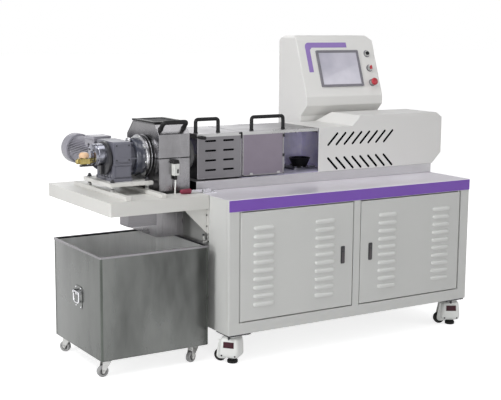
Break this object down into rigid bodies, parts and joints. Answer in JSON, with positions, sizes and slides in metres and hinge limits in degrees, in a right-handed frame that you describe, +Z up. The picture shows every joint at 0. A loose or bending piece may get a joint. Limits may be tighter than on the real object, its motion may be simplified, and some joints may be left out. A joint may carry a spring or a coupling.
{
  "type": "laboratory extruder",
  "caption": "Bench extruder line: louvred cabinet on levelling casters, barrel covers, drive housing, console, cutting hood with side drive, and wheeled bin",
  "frame": {"origin": "centre of the underside of the front left levelling foot, on the floor", "axes": "+X along the doors to the right, +Y from the doors to the back, +Z up"},
  "size_m": [2.019, 0.92, 1.428],
  "materials": {
    "body_paint": "light grey powder coat",
    "strip_paint": "muted violet paint",
    "stainless": "brushed stainless sheet",
    "white_paint": "white powder coat",
    "cast_white": "off-white painted casting",
    "black_rubber": "matt black rubber",
    "black_plastic": "matt black moulding",
    "screen_frame": "dark grey moulding round a dark screen",
    "red_plastic": "red moulding",
    "bright_steel": "bright turned steel",
    "grey_cast": "blue-grey enamel on a casting",
    "dark_steel": "dark grey paint",
    "barrel_steel": "ground steel",
    "zinc": "bright zinc plate",
    "brass": "turned brass",
    "switch_body": "pale grey moulding"
  },
  "bodies": {
    "machine": {"front_frame": "body_paint", "side_panels": "body_paint", "back_panel": "body_paint", "floor_panel": "body_paint", "colour_strip": "strip_paint", "stainless_top": "stainless", "plinth": "stainless", "levelling_casters": "cast_white", "levelling_feet": "black_rubber", "side_table": "white_paint", "table_brackets": "white_paint", "outlet_chute": "stainless", "toggle_clamp": "zinc", "rear_cover_panel": "stainless", "barrel": "barrel_steel", "die_flange": "bright_steel", "support_plate": "dark_steel", "feed_funnel": "black_plastic", "drive_housing": "white_paint", "control_console": "white_paint", "touch_screen": "screen_frame", "hood_base": "black_rubber", "hood_lower": "stainless", "safety_switch": "switch_body", "drive_plate": "white_paint", "gear_unit": "grey_cast", "shaft_flange": "bright_steel", "side_valve": "brass", "motor": "grey_cast"},
    "left_door": {"left_door": "body_paint"},
    "right_door": {"right_door": "body_paint"},
    "slotted_cover": {"slotted_cover": "stainless", "slotted_cover_handle": "black_plastic"},
    "plain_cover": {"plain_cover": "stainless", "plain_cover_handle": "black_plastic"},
    "hood_lid": {"hood_lid": "stainless", "hood_handle": "black_plastic"},
    "push_button": {"push_button": "black_plastic"},
    "selector_knob": {"selector_knob": "zinc"},
    "emergency_stop": {"emergency_stop": "red_plastic"},
    "bin": {"bin_body": "stainless"},
    "bin_ring": {"bin_ring": "bright_steel"},
    "bin_fork_1": {"bin_fork_1": "zinc"},
    "bin_wheel_1": {"bin_wheel_1": "black_rubber"},
    "bin_fork_2": {"bin_fork_2": "zinc"},
    "bin_wheel_2": {"bin_wheel_2": "black_rubber"},
    "bin_fork_3": {"bin_fork_3": "zinc"},
    "bin_wheel_3": {"bin_wheel_3": "black_rubber"},
    "bin_fork_4": {"bin_fork_4": "zinc"},
    "bin_wheel_4": {"bin_wheel_4": "black_rubber"}
  },
  "joints": [
    {"name": "left_door_hinge", "type": "hinge", "parent": "machine", "child": "left_door", "pos_m": [0.014, -0.043, 0.437], "axis": [0, 0, -1], "range_deg": [0, 95]},
    {"name": "right_door_hinge", "type": "hinge", "parent": "machine", "child": "right_door", "pos_m": [1.264, -0.043, 0.437], "axis": [0, 0, 1], "range_deg": [0, 95]},
    {"name": "slotted_cover_hinge", "type": "hinge", "parent": "machine", "child": "slotted_cover", "pos_m": [0.067, 0.567, 0.991], "axis": [-1, 0, 0], "range_deg": [0, 100]},
    {"name": "plain_cover_hinge", "type": "hinge", "parent": "machine", "child": "plain_cover", "pos_m": [0.4, 0.567, 0.991], "axis": [-1, 0, 0], "range_deg": [0, 100]},
    {"name": "hood_lid_hinge", "type": "hinge", "parent": "machine", "child": "hood_lid", "pos_m": [-0.1555, 0.582, 0.896], "axis": [-1, 0, 0], "range_deg": [0, 100]},
    {"name": "push_button_press", "type": "slide", "parent": "machine", "child": "push_button", "axis": [0, 0.9404, -0.3401], "range_m": [0, 0.003], "stiffness_N_per_m": 300, "springref_m": -0.002},
    {"name": "selector_turn", "type": "hinge", "parent": "machine", "child": "selector_knob", "pos_m": [1.166, 0.56232, 1.26035], "axis": [0, -0.9404, 0.3401], "range_deg": [-45, 45]},
    {"name": "emergency_stop_press", "type": "slide", "parent": "machine", "child": "emergency_stop", "axis": [0, 0.9404, -0.3401], "range_m": [0, 0.003]},
    {"name": "bin_roll_out", "type": "slide", "parent": "machine", "child": "bin", "axis": [0, -1, 0], "range_m": [0, 0.65]},
    {"name": "bin_ring_swing", "type": "hinge", "parent": "bin", "child": "bin_ring", "pos_m": [-0.617, 0.29, 0.33593], "axis": [0, 1, 0], "range_deg": [0, 90]},
    {"name": "bin_swivel_1", "type": "hinge", "parent": "bin", "child": "bin_fork_1", "pos_m": [-0.559, 0.106, 0.074], "axis": [0, 0, 1], "continuous": true},
    {"name": "bin_swivel_2", "type": "hinge", "parent": "bin", "child": "bin_fork_2", "pos_m": [-0.137, 0.106, 0.074], "axis": [0, 0, 1], "continuous": true},
    {"name": "bin_swivel_3", "type": "hinge", "parent": "bin", "child": "bin_fork_3", "pos_m": [-0.559, 0.514, 0.074], "axis": [0, 0, 1], "continuous": true},
    {"name": "bin_swivel_4", "type": "hinge", "parent": "bin", "child": "bin_fork_4", "pos_m": [-0.137, 0.514, 0.074], "axis": [0, 0, 1], "continuous": true},
    {"name": "bin_wheel_spin_1", "type": "hinge", "parent": "bin_fork_1", "child": "bin_wheel_1", "pos_m": [-0.581, 0.106, 0.025], "axis": [0, -1, 0], "continuous": true},
    {"name": "bin_wheel_spin_2", "type": "hinge", "parent": "bin_fork_2", "child": "bin_wheel_2", "pos_m": [-0.15767, 0.09848, 0.025], "axis": [0.342, -0.9397, 0], "continuous": true},
    {"name": "bin_wheel_spin_3", "type": "hinge", "parent": "bin_fork_3", "child": "bin_wheel_3", "pos_m": [-0.57314, 0.53085, 0.025], "axis": [-0.766, -0.6428, 0], "continuous": true},
    {"name": "bin_wheel_spin_4", "type": "hinge", "parent": "bin_fork_4", "child": "bin_wheel_4", "pos_m": [-0.126, 0.53305, 0.025], "axis": [-0.866, 0.5, 0], "continuous": true}
  ]
}
